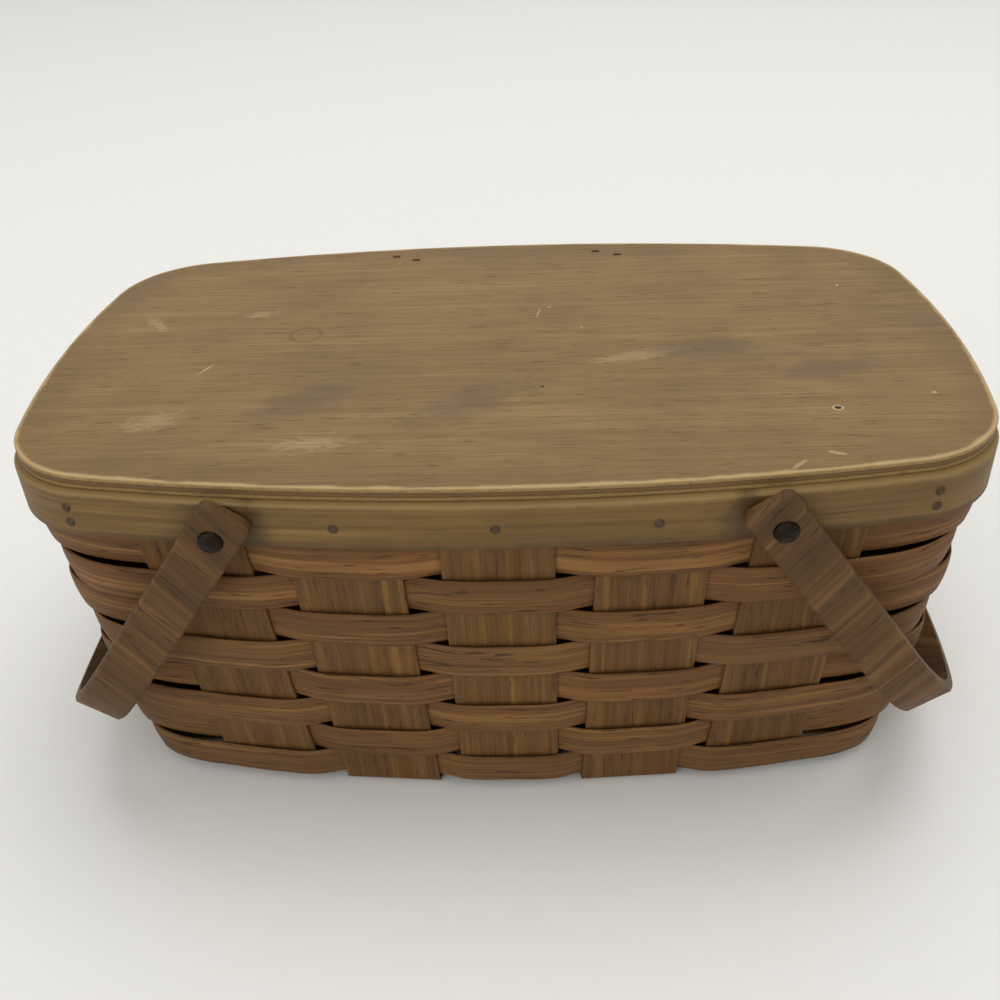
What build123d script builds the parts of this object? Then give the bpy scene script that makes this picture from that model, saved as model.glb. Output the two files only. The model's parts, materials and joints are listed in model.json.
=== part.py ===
"""Picnic basket with a hinged plywood lid and two bentwood swing handles.

Units are millimetres. The origin is on the floor under the basket's middle, +X runs
along its length, -Y is its front and +Z is up. One STEP file is written per node.
"""

from math import asin, atan2, cos, degrees, hypot, pi, radians, sin, sqrt
from pathlib import Path

from build123d import *

# Overall
LENGTH = 480.0
HEIGHT = 212.0
LID_DEPTH = 284.0
SIDE_RADIUS = 1107.0  # the long sides bow outwards on this radius
END_RADIUS = 506.0  # and the ends on this one

# Lid
LID_THICK = 6.4
LID_CORNER = 55.0
LID_REST = 0.2  # air between the lid and the rim

# Rim: two bentwood hoops with the tops of the splints between them
RIM_OVER_LENGTH = 0.5
RIM_OVER_DEPTH = 4.5
RIM_CORNER = 52.0
BAND_HEIGHT = 22.6
OUTER_HOOP = 5.0
HOOP_GAP = 2.75
INNER_HOOP = 4.4
HOOP_EASE = 1.0
SCARF_LENGTH = 46.0
SCARF_SLIT = 0.12

# Splints: five run front to back and three end to end, across the base and up the walls
SPLINT_WIDTH = 52.0
SPLINT_THICK = 1.8
CROSS_COUNT, LONG_COUNT = 5, 3
RIM_SPACING = {"Y": 71.5, "X": 60.0}  # between splints in the sides and in the ends
BASE_SPACING = {"Y": 65.0, "X": 58.0}
CORNER_FULLNESS = 1.0  # how squarely the weavers turn the corners
BASE_BEND = 5.0
WALL_LEAN = 0.095  # inwards per millimetre below the rim
WALL_CURVE = 0.00015

# Weavers: one lapped strip for each row
ROWS = 8
WEAVER_THICK = 1.5
WEAVER_SLACK = 0.9  # of each row's height is left open
WEAVE_AIR = 0.1
WEAVE_BULGE = 1.3
LOWEST_EDGE = 5.6
LAPS_AT = (10, 11, 8, 9, 12, 11, 10, 9)  # the splint behind which each row's ends lap

# Swing handles
HANDLE_WIDTH = 25.0
HANDLE_THICK = 6.0
HANDLE_EASE = 1.2
PIVOT_X = 125.5
PIVOT_Z = HEIGHT - 21.0
ARM_INNER_Y = 142.7
ARM_STRAIGHT = 98.0
FRONT_TAIL, BACK_TAIL = 16.0, 12.0  # above the pivots
CORNER_BEND = 75.0
GRIP_BEND = 230.0
HANG_ANGLE = 35.8  # degrees out from straight down, where the grip meets the end wall

# Pivot rivets
RIVET_RADIUS = 2.5
RIVET_HEAD_RADIUS = 5.9
RIVET_HEAD_RISE = 2.6
PIVOT_AIR = 0.08
RIVET_AIR = 0.04  # round the shank in the rim
SPACER_RADIUS = 7.5
BURR_RADIUS = 5.5
BURR_THICK = 1.0
SEAT_AIR = 0.03  # between a washer's flat face and the bowed wood

# Rim nails, square in section like cut nails
NAIL_SHANK = 1.6
NAIL_HEAD_RADIUS = 2.5
NAIL_HEAD_RISE = 1.1
NAIL_LENGTH = 10.0
NAIL_Z = HEIGHT - 18.5
CORNER_NAIL_X = 195.5
CORNER_NAIL_STEP = 8.0

# Lid hinges
HINGE_X = 63.0
HINGE_LENGTH = 25.0
LEAF_THICK = 1.2
LEAF_AIR = 0.05  # round each leaf in its pocket
KNUCKLE_RADIUS = 2.2
KNUCKLE_AIR = 0.15
PIN_RADIUS = 1.0
PIN_AIR = 0.05
LEAF_REACH = 31.0
LEAF_DROP = 20.0
LEAF_FACE_Y = 143.8  # the rim leaf is let into the band as far as this
LEAF_NAIL_DROP = 13.0
LID_NAIL_REACH = (19.5, 26.0)
LID_NAIL_STEP = 8.0
CLINCH_LENGTH = 4.5
CLINCH_RISE = 0.6

# Worked out from those
LID_UNDER = HEIGHT - LID_THICK
RIM_TOP = LID_UNDER - LID_REST
RIM_BOTTOM = RIM_TOP - BAND_HEIGHT
RIM_A = LENGTH / 2 + RIM_OVER_LENGTH
RIM_B = LID_DEPTH / 2 + RIM_OVER_DEPTH
INNER_FACE = OUTER_HOOP + HOOP_GAP + INNER_HOOP
HINGE_Y = LEAF_FACE_Y + KNUCKLE_RADIUS
HINGE_Z = LID_UNDER + LEAF_THICK - KNUCKLE_RADIUS
ROW_RISE = (RIM_BOTTOM - LOWEST_EDGE) / ROWS
WEAVE_OFFSET = (SPLINT_THICK + WEAVER_THICK) / 2 + WEAVE_AIR
MAT_LEVELS = (SPLINT_THICK / 2, 1.5 * SPLINT_THICK + WEAVE_AIR)
OUT = Path("parts")


def corner_arc(a, b, corner):
    """Centre of the corner arc that is tangent to a side and an end, in the +X +Y quarter."""
    side, end = SIDE_RADIUS - corner, END_RADIUS - corner
    span = hypot(a - END_RADIUS, SIDE_RADIUS - b)
    along = (side**2 - end**2 + span**2) / (2 * span)
    rise = sqrt(side**2 - along**2)
    ux, uy = (a - END_RADIUS) / span, (SIDE_RADIUS - b) / span
    return along * ux + rise * uy, b - SIDE_RADIUS + along * uy - rise * ux


def oval(a, b, corner, inset=0.0):
    """Face of a box with bowed sides and ends and rounded corners, drawn in by inset."""
    cx, cy = corner_arc(a, b, corner)
    side, end = SIDE_RADIUS - inset, END_RADIUS - inset
    at_side = atan2(cy - b + SIDE_RADIUS, cx)
    at_end = atan2(cy, cx - a + END_RADIUS)
    p = (side * cos(at_side), b - SIDE_RADIUS + side * sin(at_side))
    q = (a - END_RADIUS + end * cos(at_end), end * sin(at_end))
    middle = (at_side + at_end) / 2
    m = (cx + (corner - inset) * cos(middle), cy + (corner - inset) * sin(middle))
    quarters = [(1, 1), (1, -1), (-1, -1), (-1, 1)]
    edges = []
    for sx, sy in quarters:
        edges.append(ThreePointArc((sx * p[0], sy * p[1]), (sx * m[0], sy * m[1]), (sx * q[0], sy * q[1])))
    for s in (1, -1):
        edges.append(ThreePointArc((-p[0], s * p[1]), (0, s * (b - inset)), (p[0], s * p[1])))
        edges.append(ThreePointArc((s * q[0], -q[1]), (s * (a - inset), 0), (s * q[0], q[1])))
    return make_face(edges)


def lean(z):
    """How far the wall has come in at height z."""
    drop = max(0.0, RIM_BOTTOM - z)
    return WALL_LEAN * drop + WALL_CURVE * drop**2


class Upright:
    """Where one splint stands in the wall: a flat strip that leans in as it goes down."""

    def __init__(self, side, place):
        """side is the wall it stands in, as the sign and axis of its outward direction."""
        self.sign, self.axis = side
        top, base = place * RIM_SPACING[self.axis], place * BASE_SPACING[self.axis]
        radius, half = (SIDE_RADIUS, RIM_B) if self.axis == "Y" else (END_RADIUS, RIM_A)
        flat = (SPLINT_WIDTH / 2 + 2) ** 2 / (2 * (radius - OUTER_HOOP))
        out = half - radius + sqrt(radius**2 - top**2) - OUTER_HOOP - flat - SPLINT_THICK / 2 - 0.03
        turn = asin(top / radius)
        if self.axis == "Y":
            self.origin = (top, self.sign * out)
            self.normal = (sin(turn), self.sign * cos(turn))
        else:
            self.origin = (self.sign * out, top)
            self.normal = (self.sign * cos(turn), sin(turn))
        self.tangent = (-self.normal[1], self.normal[0])
        self.top, self.base = top, base

    def shift(self, z):
        """Sideways drift along the tangent at height z, towards the base spacing."""
        drop = (RIM_TOP - z) / RIM_TOP
        across = 0 if self.axis == "Y" else 1
        wanted = (self.base - self.top) * drop + self.normal[across] * lean(z)
        return wanted / self.tangent[across]

    def at(self, z, along=0.0, off=0.0):
        """Point on the middle surface at height z, moved along the strip's width and outwards."""
        along += self.shift(z)
        out = off - lean(z)
        return (
            self.origin[0] + self.normal[0] * out + self.tangent[0] * along,
            self.origin[1] + self.normal[1] * out + self.tangent[1] * along,
        )

    def plane(self):
        """Plane whose x is outwards and whose y is up, at the floor under the strip's top."""
        away = (-self.tangent[0], -self.tangent[1], 0)
        return Plane((*self.origin, 0), x_dir=(*self.normal, 0), z_dir=away)

    def panel(self, level):
        """The wall part of the splint, down to a short flat on the base at the given level."""
        foot = (-lean(level) - 1.7 * BASE_BEND, level)
        heights = (RIM_TOP, RIM_BOTTOM, 0.75 * RIM_BOTTOM, 0.5 * RIM_BOTTOM, 0.25 * RIM_BOTTOM, level)
        spine = FilletPolyline(*[(-lean(z), z) for z in heights[-2:]], foot, radius=BASE_BEND)
        upper = Polyline(*[(-lean(z), z) for z in heights[:-1]])
        profile = trace(Curve() + [upper, spine], SPLINT_THICK)
        wide = self.plane() * extrude(profile, SPLINT_WIDTH, both=True)
        half = SPLINT_WIDTH / 2
        low, high = (self.shift(0), -1), (self.shift(RIM_TOP), RIM_TOP + 1)
        corners = [(x + side * half, z) for x, z, side in ((*high, -1), (*low, -1), (*low, 1), (*high, 1))]
        face = Polyline(*corners, close=True)
        front = Plane((*self.origin, 0), x_dir=(*self.tangent, 0), z_dir=(*self.normal, 0))
        return wide & (front * extrude(make_face(face), LENGTH / 4, both=True))


FRONT, RIGHT, BACK, LEFT = (-1, "Y"), (1, "X"), (1, "Y"), (-1, "X")
CROSS_PLACES = [i - (CROSS_COUNT - 1) / 2 for i in range(CROSS_COUNT)]
LONG_PLACES = [i - (LONG_COUNT - 1) / 2 for i in range(LONG_COUNT)]
UPRIGHTS = (
    [Upright(FRONT, p) for p in CROSS_PLACES]
    + [Upright(RIGHT, p) for p in LONG_PLACES]
    + [Upright(BACK, p) for p in reversed(CROSS_PLACES)]
    + [Upright(LEFT, p) for p in reversed(LONG_PLACES)]
)


def splint(axis, number):
    """One whole splint: up one wall, across the base under and over its neighbours, and up the other."""
    if axis == "Y":
        near, far = UPRIGHTS[number], UPRIGHTS[2 * CROSS_COUNT + LONG_COUNT - 1 - number]
        offset, crossings, spacing = near.base, LONG_PLACES, BASE_SPACING["X"]
    else:
        near, far = UPRIGHTS[-1 - number], UPRIGHTS[CROSS_COUNT + number]
        offset, crossings, spacing = near.base, CROSS_PLACES, BASE_SPACING["Y"]
    first = 1 - number % 2 if axis == "Y" else number % 2
    levels = [MAT_LEVELS[(first + i) % 2] for i in range(len(crossings))]
    half = SPLINT_WIDTH / 2 + 1.5
    points = []
    for place, level in zip(crossings, levels):
        points += [(place * spacing - half, level), (place * spacing + half, level)]
    spine = Polyline(*points)
    if axis == "Y":
        plane = Plane((offset, 0, 0), x_dir=(0, 1, 0), z_dir=(1, 0, 0))
    else:
        plane = Plane((0, offset, 0), x_dir=(1, 0, 0), z_dir=(0, -1, 0))
    base = plane * extrude(trace(spine, SPLINT_THICK), SPLINT_WIDTH / 2, both=True)
    reach = []
    for upright, end, level in ((near, points[0], levels[0]), (far, points[-1], levels[-1])):
        x, y = upright.at(level, 0, -1.2 * BASE_BEND)
        inner = end[0] + (2 if end[0] < 0 else -2)
        edge = y if axis == "Y" else x
        middle, length = (edge + inner) / 2, abs(edge - inner)
        if axis == "Y":
            reach.append(Pos(offset, middle, level) * Box(SPLINT_WIDTH, length, SPLINT_THICK))
        else:
            reach.append(Pos(middle, offset, level) * Box(length, SPLINT_WIDTH, SPLINT_THICK))
    return base + reach[0] + reach[1] + near.panel(levels[0]) + far.panel(levels[-1])


def corner_points(p, along, q, onward):
    """Points round a corner from p to q, as a conic that leaves one way and arrives the other."""
    cross = along[0] * onward[1] - along[1] * onward[0]
    reach = ((q[0] - p[0]) * onward[1] - (q[1] - p[1]) * onward[0]) / cross
    corner = (p[0] + reach * along[0], p[1] + reach * along[1])
    points = []
    for t in (0.2, 0.4, 0.6, 0.8):
        weights = ((1 - t) ** 2, 2 * t * (1 - t) * CORNER_FULLNESS, t**2)
        mixed = [sum(w * c for w, c in zip(weights, line)) for line in zip(p, corner, q)]
        points.append((mixed[0] / sum(weights), mixed[1] / sum(weights)))
    return points


def weaver_line(row, z):
    """The weaver's middle line at height z: outside every second splint and inside the others."""
    start = LAPS_AT[row]
    count = len(UPRIGHTS)
    line = []
    edge = SPLINT_WIDTH / 2 + 1
    for step in range(count + 1):
        index = (start + step) % count
        side = 1 if (index + row) % 2 else -1
        deeper = WEAVER_THICK + WEAVE_AIR if step == count else 0.0
        off, swell = side * WEAVE_OFFSET - deeper, side * WEAVE_BULGE
        here = UPRIGHTS[index]
        stations = [(-edge, off), (0, off + swell), (edge, off)]
        if step == 0:
            stations[0] = (3 - edge, off + 0.1 * swell)
        if step == count:
            stations[2] = (edge - 3, off + 0.1 * swell)
        line += [here.at(z, *s) for s in stations]
        if step == count:
            break
        after = UPRIGHTS[(index + 1) % count]
        if here.axis != after.axis:
            p, q = here.at(z, edge, off), after.at(z, -edge, -off)
            line += corner_points(p, here.tangent, q, after.tangent)
    return line


def band_face(line, z):
    """Face of a strip's edge at height z: its middle line, thickened to both sides."""
    half = WEAVER_THICK / 2
    sides = ([], [])
    for i, (x, y) in enumerate(line):
        before, after = line[max(i - 1, 0)], line[min(i + 1, len(line) - 1)]
        a = atan2(y - before[1], x - before[0]) if i else None
        b = atan2(after[1] - y, after[0] - x) if i < len(line) - 1 else None
        a, b = (b if a is None else a), (a if b is None else b)
        turn = (b - a + pi) % (2 * pi) - pi
        normal, reach = a + turn / 2 - pi / 2, half / cos(turn / 2)
        for side, points in zip((1, -1), sides):
            points.append((x + side * reach * cos(normal), y + side * reach * sin(normal), z))
    return make_face(Polyline(*sides[0], *reversed(sides[1]), close=True))


def weaver(row):
    """One row of the wall: a lapped strip that leans with the splints."""
    low = LOWEST_EDGE + (ROWS - 1 - row) * ROW_RISE + WEAVER_SLACK / 2
    high = low + ROW_RISE - WEAVER_SLACK
    return loft([band_face(weaver_line(row, z), z) for z in (low, high)], ruled=True)


def hoop(outset, thick, scarf_x, scarf_y):
    """A bentwood hoop with eased edges, slit where its ends are scarfed together."""
    around = oval(RIM_A, RIM_B, RIM_CORNER, outset) - oval(RIM_A, RIM_B, RIM_CORNER, outset + thick)
    ring = extrude(around, BAND_HEIGHT)
    top = ring.faces().sort_by(Axis.Z)[-1]
    seen = top.inner_wires()[0] if outset else top.outer_wire()
    ring = Pos(0, 0, RIM_BOTTOM) * chamfer(seen.edges(), HOOP_EASE)
    slit = Box(SCARF_LENGTH + 14, SCARF_SLIT, 2 * BAND_HEIGHT)
    slit = Rot(0, 0, degrees(atan2(thick, SCARF_LENGTH))) * slit
    return ring - Pos(scarf_x, scarf_y, RIM_BOTTOM + BAND_HEIGHT / 2) * slit


def nail_places():
    """Position and outward direction in plan of every rim nail, and its height."""
    places = []
    for upright in UPRIGHTS:
        rivetted = upright.axis == "Y" and abs(upright.top) > PIVOT_X
        hinged = (upright.sign, upright.axis) == BACK and abs(abs(upright.top) - HINGE_X) < HINGE_LENGTH
        if rivetted or hinged:
            continue
        radius, half = (SIDE_RADIUS, RIM_B) if upright.axis == "Y" else (END_RADIUS, RIM_A)
        bow = half - radius + sqrt(radius**2 - upright.top**2)
        spot = (upright.top, upright.sign * bow)
        if upright.axis == "X":
            spot = (upright.sign * bow, upright.top)
        places.append((spot, upright.normal, NAIL_Z))
    cx, cy = corner_arc(RIM_A, RIM_B, RIM_CORNER)
    lateral = (CORNER_NAIL_X - cx) / RIM_CORNER
    normal = (lateral, sqrt(1 - lateral**2))
    for sx in (1, -1):
        for sy in (1, -1):
            spot = (sx * (cx + RIM_CORNER * normal[0]), sy * (cy + RIM_CORNER * normal[1]))
            for dz in (-CORNER_NAIL_STEP / 2, CORNER_NAIL_STEP / 2):
                places.append((spot, (sx * normal[0], sy * normal[1]), NAIL_Z + dz))
    for x in (-HINGE_X, HINGE_X):
        for dx in (-LID_NAIL_STEP, LID_NAIL_STEP):
            places.append(((x + dx, LEAF_FACE_Y + LEAF_THICK), (0.0, 1.0), HINGE_Z - LEAF_NAIL_DROP))
    return places


def rim_nail(place, air=0.0):
    """A cut nail with a low hammered head; with air, the hole that it needs."""
    spot, normal, z = place
    frame = Plane((*spot, z), x_dir=(0, 0, 1), z_dir=(*normal, 0))
    width = NAIL_SHANK + 2 * air
    shank = Pos(0, 0, (0.3 - NAIL_LENGTH) / 2) * Box(width, width, NAIL_LENGTH + 0.3 + 2 * air)
    if air:
        return frame * shank
    rim, crown = RegularPolygon(NAIL_HEAD_RADIUS, 8), RegularPolygon(0.55 * NAIL_HEAD_RADIUS, 8)
    head = loft([Pos(0, 0, 0.04) * rim, Pos(0, 0, NAIL_HEAD_RISE) * crown], ruled=True)
    return frame * (head + shank)


def handle_strip(off):
    """The bent strip's line at a distance off its middle, as the closed outline from tail to tail."""
    bend_y = ARM_INNER_Y + HANDLE_THICK / 2 - CORNER_BEND
    back = sqrt((GRIP_BEND - CORNER_BEND) ** 2 - bend_y**2)
    join = atan2(bend_y, back)
    half_turn = (pi / 2 + join) / 2
    corner, grip = CORNER_BEND + off, GRIP_BEND + off
    arm = ARM_INNER_Y + HANDLE_THICK / 2 + off
    grip_x = ARM_STRAIGHT - back
    bent = (ARM_STRAIGHT + corner * cos(half_turn), bend_y + corner * sin(half_turn))
    joint = (grip_x + grip * cos(join), grip * sin(join))
    edges = [ThreePointArc(joint, (grip_x + grip, 0), (joint[0], -joint[1]))]
    for s in (1, -1):
        edges.append(Line((-BACK_TAIL if s > 0 else -FRONT_TAIL, s * arm), (ARM_STRAIGHT, s * arm)))
        turn = [(ARM_STRAIGHT, s * arm), (bent[0], s * bent[1]), (joint[0], s * joint[1])]
        edges.append(ThreePointArc(*turn))
    edges.append(Line((-FRONT_TAIL, -arm), (-BACK_TAIL, arm)))
    return make_face(edges)


def handle():
    """The right-hand swing handle, hanging against the basket's end."""
    outer = extrude(handle_strip(HANDLE_THICK / 2), HANDLE_WIDTH / 2, both=True)
    tails = outer.faces().sort_by(Axis.X)[0].edges().sort_by(SortBy.LENGTH)[-2:]
    outer = fillet(tails, 4 * HANDLE_EASE)
    rims = outer.faces().sort_by(Axis.Z)
    outer = chamfer(rims[0].edges() + rims[-1].edges(), HANDLE_EASE)
    inner = handle_strip(-HANDLE_THICK / 2)
    inner += Pos(-FRONT_TAIL, 0) * Rectangle(2 * FRONT_TAIL, 2 * ARM_INNER_Y)
    strip = outer - extrude(inner, HANDLE_WIDTH, both=True)
    strip -= Rot(90, 0, 0) * Cylinder(RIVET_RADIUS + PIVOT_AIR, 3 * ARM_INNER_Y)
    hang = radians(HANG_ANGLE)
    down, across = (sin(hang), 0, -cos(hang)), (cos(hang), 0, sin(hang))
    return Plane((PIVOT_X, 0, PIVOT_Z), x_dir=down, z_dir=across) * strip


def on_pivot(piece, y):
    """Turns a piece that is made along Z to lie on the front right pivot, its end at distance y."""
    return Pos(PIVOT_X, -y, PIVOT_Z) * Rot(90, 0, 0) * piece


def pivot_hole():
    """Hole for a rivet through the rim: eight flats, which cost the bowed wood few facets."""
    flats = RegularPolygon(RIVET_RADIUS + RIVET_AIR, 8, major_radius=False)
    return on_pivot(extrude(flats, RIM_B), RIM_B / 4)


def washer(radius, low, high, inset, keep):
    """Octagonal washer from distance low to high, cut to lie against the rim's face at that inset."""
    flats = RegularPolygon(radius, 8) - Circle(RIVET_RADIUS + RIVET_AIR)
    turn = asin(PIVOT_X / SIDE_RADIUS)
    reach = SIDE_RADIUS - inset
    spot = (reach * sin(turn), -(RIM_B - SIDE_RADIUS + reach * cos(turn)), PIVOT_Z)
    against = Plane(spot, z_dir=(sin(turn), -cos(turn), 0))
    return split(on_pivot(extrude(flats, high - low), low), bisect_by=against, keep=keep)


def four(piece):
    """A pivot piece, repeated at all four pivots."""
    pair = [piece, mirror(piece, Plane.YZ)]
    return pair + [mirror(p, Plane.XZ) for p in pair]


def rim_inside():
    """Distance from the middle to the inner hoop's inner face at the pivots."""
    return RIM_B - SIDE_RADIUS + sqrt((SIDE_RADIUS - INNER_FACE) ** 2 - PIVOT_X**2)


def rivet():
    """Hammered rivet: through the handle, the rim and a burr, and peened over inside."""
    peened = rim_inside() - 2 * BURR_THICK
    face = ARM_INNER_Y + HANDLE_THICK + PIVOT_AIR
    shank = on_pivot(Cylinder(RIVET_RADIUS, face - peened + 2 * BURR_THICK), (face + peened) / 2)
    rings = ((1.0, 0.0), (0.92, 0.4), (0.62, 0.8), (0.3, 1.0))
    dome = []
    for part, rise in rings:
        dome.append(Pos(0, 0, rise * RIVET_HEAD_RISE) * RegularPolygon(part * RIVET_HEAD_RADIUS, 12))
    wide, narrow = RegularPolygon(1.5 * RIVET_RADIUS, 12), RegularPolygon(1.1 * RIVET_RADIUS, 12)
    tip = loft([wide, Pos(0, 0, -BURR_THICK) * narrow], ruled=True)
    return shank + on_pivot(loft(dome, ruled=True), face) + on_pivot(tip, peened)


def hinge_at(x):
    """Lid leaf, rim leaf and pin of the hinge at x."""
    third = HINGE_LENGTH / 3
    barrel = Rot(0, 90, 0) * extrude(RegularPolygon(KNUCKLE_RADIUS, 12), HINGE_LENGTH / 2, both=True)
    bore = Rot(0, 90, 0) * Cylinder(PIN_RADIUS + PIN_AIR, 2 * HINGE_LENGTH)
    reachable = 2 * (KNUCKLE_RADIUS + KNUCKLE_AIR)
    middle = Box(third - KNUCKLE_AIR, reachable, reachable)
    gap = Box(third + KNUCKLE_AIR, reachable, reachable)
    lid_plate = Box(HINGE_LENGTH, LEAF_REACH, LEAF_THICK)
    lid_plate = Pos(0, -LEAF_REACH / 2, KNUCKLE_RADIUS - LEAF_THICK / 2) * lid_plate
    swept = Box(HINGE_LENGTH + 1, reachable, reachable)
    lid_leaf = (lid_plate - swept) + ((lid_plate + barrel) & middle) - bore
    rim_plate = Box(HINGE_LENGTH, LEAF_THICK, LEAF_DROP)
    rim_plate = Pos(0, LEAF_THICK / 2 - KNUCKLE_RADIUS, -LEAF_DROP / 2) * rim_plate
    rim_leaf = rim_plate + barrel - gap - bore
    pin = Rot(0, 90, 0) * Cylinder(PIN_RADIUS, HINGE_LENGTH)
    return [Pos(x, HINGE_Y, HINGE_Z) * piece for piece in (lid_leaf, rim_leaf, pin)]


def lid_nail(x, y, toward, air=0.0):
    """A nail driven up through the lid leaf and the lid, its tip clinched flat on top."""
    width = NAIL_SHANK + 2 * air
    shank = Pos(x, y, (LID_UNDER + HEIGHT) / 2) * Box(width, width, LID_THICK + 0.2)
    if air:
        return shank
    head = Pos(x, y, LID_UNDER - 0.5) * extrude(RegularPolygon(0.8 * NAIL_HEAD_RADIUS, 8), 0.5)
    reach = (CLINCH_LENGTH - NAIL_SHANK) / 2
    clinch = Box(CLINCH_LENGTH, NAIL_SHANK, CLINCH_RISE)
    clinch = Pos(x + toward * reach, y, HEIGHT + CLINCH_RISE / 2 + 0.02) * clinch
    shank = Pos(x, y, (LID_UNDER + HEIGHT) / 2) * Box(NAIL_SHANK, NAIL_SHANK, LID_THICK + 0.4)
    return shank + head + clinch


def lid_nail_places():
    """x, y and clinching direction of the nails in the lid."""
    for x in (-HINGE_X, HINGE_X):
        for dx, reach, toward in zip((-LID_NAIL_STEP, LID_NAIL_STEP), LID_NAIL_REACH, (1, -1)):
            yield x + dx, HINGE_Y - reach, toward


def lid_panel():
    """Plywood lid, with pockets under it for the hinge leaves."""
    panel = extrude(oval(LENGTH / 2, LID_DEPTH / 2, LID_CORNER), LID_THICK)
    panel = Pos(0, 0, LID_UNDER) * chamfer(panel.faces().sort_by(Axis.Z)[-1].edges(), 0.7)
    pocket = Box(HINGE_LENGTH + 2 * LEAF_AIR, LEAF_REACH + 2 * LEAF_AIR, LEAF_THICK)
    for x in (-HINGE_X, HINGE_X):
        panel -= Pos(x, HINGE_Y - LEAF_REACH / 2 - LEAF_AIR, LID_UNDER + LEAF_THICK / 2) * pocket
    return panel


def save(name, *solids):
    """Writes one node's solids to its own file."""
    shape = solids[0] if len(solids) == 1 else Compound(children=[s.solid() for s in solids])
    OUT.mkdir(exist_ok=True)
    export_step(shape, str(OUT / f"{name}.step"))


def main():
    """Makes every node."""
    nails = nail_places()
    nail_holes = [rim_nail(place, air=0.05) for place in nails]
    pivot_holes = four(pivot_hole())
    hinges = [hinge_at(x) for x in (-HINGE_X, HINGE_X)]

    outer = hoop(0, OUTER_HOOP, 20, RIM_B - OUTER_HOOP / 2)
    inner = hoop(OUTER_HOOP + HOOP_GAP, INNER_HOOP, -20, -(RIM_B - INNER_FACE + INNER_HOOP / 2))
    for x in (-HINGE_X, HINGE_X):
        let_in = Box(HINGE_LENGTH + 4 * LEAF_AIR, 2 * OUTER_HOOP, LEAF_DROP + 20)
        outer -= Pos(x, LEAF_FACE_Y + OUTER_HOOP, HINGE_Z - LEAF_DROP / 2 + 10 - 2 * LEAF_AIR) * let_in
        swing = Box(HINGE_LENGTH / 3 + 8 * LEAF_AIR, 2 * OUTER_HOOP, 2 * KNUCKLE_RADIUS + 1)
        outer -= Pos(x, LEAF_FACE_Y + OUTER_HOOP - 0.5, HINGE_Z) * swing
    save("rim_outer_hoop", outer - nail_holes - pivot_holes)
    save("rim_inner_hoop", inner - nail_holes - pivot_holes)

    for number in range(CROSS_COUNT):
        save(f"cross_splint_{number + 1}", splint("Y", number) - nail_holes - pivot_holes)
    for number in range(LONG_COUNT):
        save(f"long_splint_{number + 1}", splint("X", number) - nail_holes)
    for row in range(ROWS):
        save(f"weaver_{row + 1}", weaver(row))

    save("rim_nails", *[rim_nail(place) for place in nails])
    save("pivot_rivets", *four(rivet()))
    spacer = washer(SPACER_RADIUS, RIM_B - 2 * OUTER_HOOP, ARM_INNER_Y - 0.1, -SEAT_AIR, Keep.TOP)
    save("pivot_spacers", *four(spacer))
    peened = rim_inside() - 2 * BURR_THICK
    burr = washer(BURR_RADIUS, peened, peened + 4 * BURR_THICK, INNER_FACE + SEAT_AIR, Keep.BOTTOM)
    save("pivot_burrs", *four(burr))

    grip = handle()
    save("handle_right", grip)
    save("handle_left", mirror(grip, Plane.YZ))

    tacks = list(lid_nail_places())
    tack_holes = [lid_nail(*tack, air=0.05) for tack in tacks]
    save("lid", lid_panel() - tack_holes)
    save("hinge_lid_leaves", *[h[0] - tack_holes for h in hinges])
    save("hinge_rim_leaves", *[h[1] - nail_holes for h in hinges])
    save("hinge_pins", *[h[2] for h in hinges])
    save("lid_nails", *[lid_nail(*tack) for tack in tacks])


if __name__ == "__main__":
    main()
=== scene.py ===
"""Old picnic basket of woven wood splints, with a plywood lid and two bentwood handles.

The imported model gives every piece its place. This script weaves finer strips over the plain
ones, dresses each piece in its own wood or steel, and sets up the studio and the camera.
Lengths are metres, as in the frame, unless a name ends in _MM.
"""

from __future__ import annotations

import json
import logging
import math
from dataclasses import dataclass
from enum import Enum

import bpy
import numpy as np
from mathutils import Matrix, Vector, noise

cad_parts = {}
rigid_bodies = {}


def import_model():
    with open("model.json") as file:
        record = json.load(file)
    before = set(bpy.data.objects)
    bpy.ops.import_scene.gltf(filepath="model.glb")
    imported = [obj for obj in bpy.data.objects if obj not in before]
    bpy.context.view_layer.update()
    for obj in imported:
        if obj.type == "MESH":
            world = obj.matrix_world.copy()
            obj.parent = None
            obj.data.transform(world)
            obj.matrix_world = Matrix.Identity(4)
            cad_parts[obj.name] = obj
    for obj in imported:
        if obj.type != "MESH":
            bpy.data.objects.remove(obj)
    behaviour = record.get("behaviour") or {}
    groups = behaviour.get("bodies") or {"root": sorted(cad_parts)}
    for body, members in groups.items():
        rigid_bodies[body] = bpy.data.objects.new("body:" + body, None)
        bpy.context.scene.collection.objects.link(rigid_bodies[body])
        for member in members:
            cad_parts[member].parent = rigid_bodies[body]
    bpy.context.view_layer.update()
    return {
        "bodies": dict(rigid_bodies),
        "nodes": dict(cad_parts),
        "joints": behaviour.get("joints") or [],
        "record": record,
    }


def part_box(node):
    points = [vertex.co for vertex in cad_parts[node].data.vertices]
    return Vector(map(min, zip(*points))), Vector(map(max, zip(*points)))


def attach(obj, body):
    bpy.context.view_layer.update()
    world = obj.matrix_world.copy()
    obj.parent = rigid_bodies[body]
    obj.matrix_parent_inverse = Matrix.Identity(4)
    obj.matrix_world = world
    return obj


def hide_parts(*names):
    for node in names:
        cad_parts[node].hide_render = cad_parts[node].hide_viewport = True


LOG = logging.getLogger("basket")
MM = 0.001
SHEEN = 0.3
COAT_ROUGHNESS = 0.45
HAIR = 0.00001

Colour = tuple[float, float, float]


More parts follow.
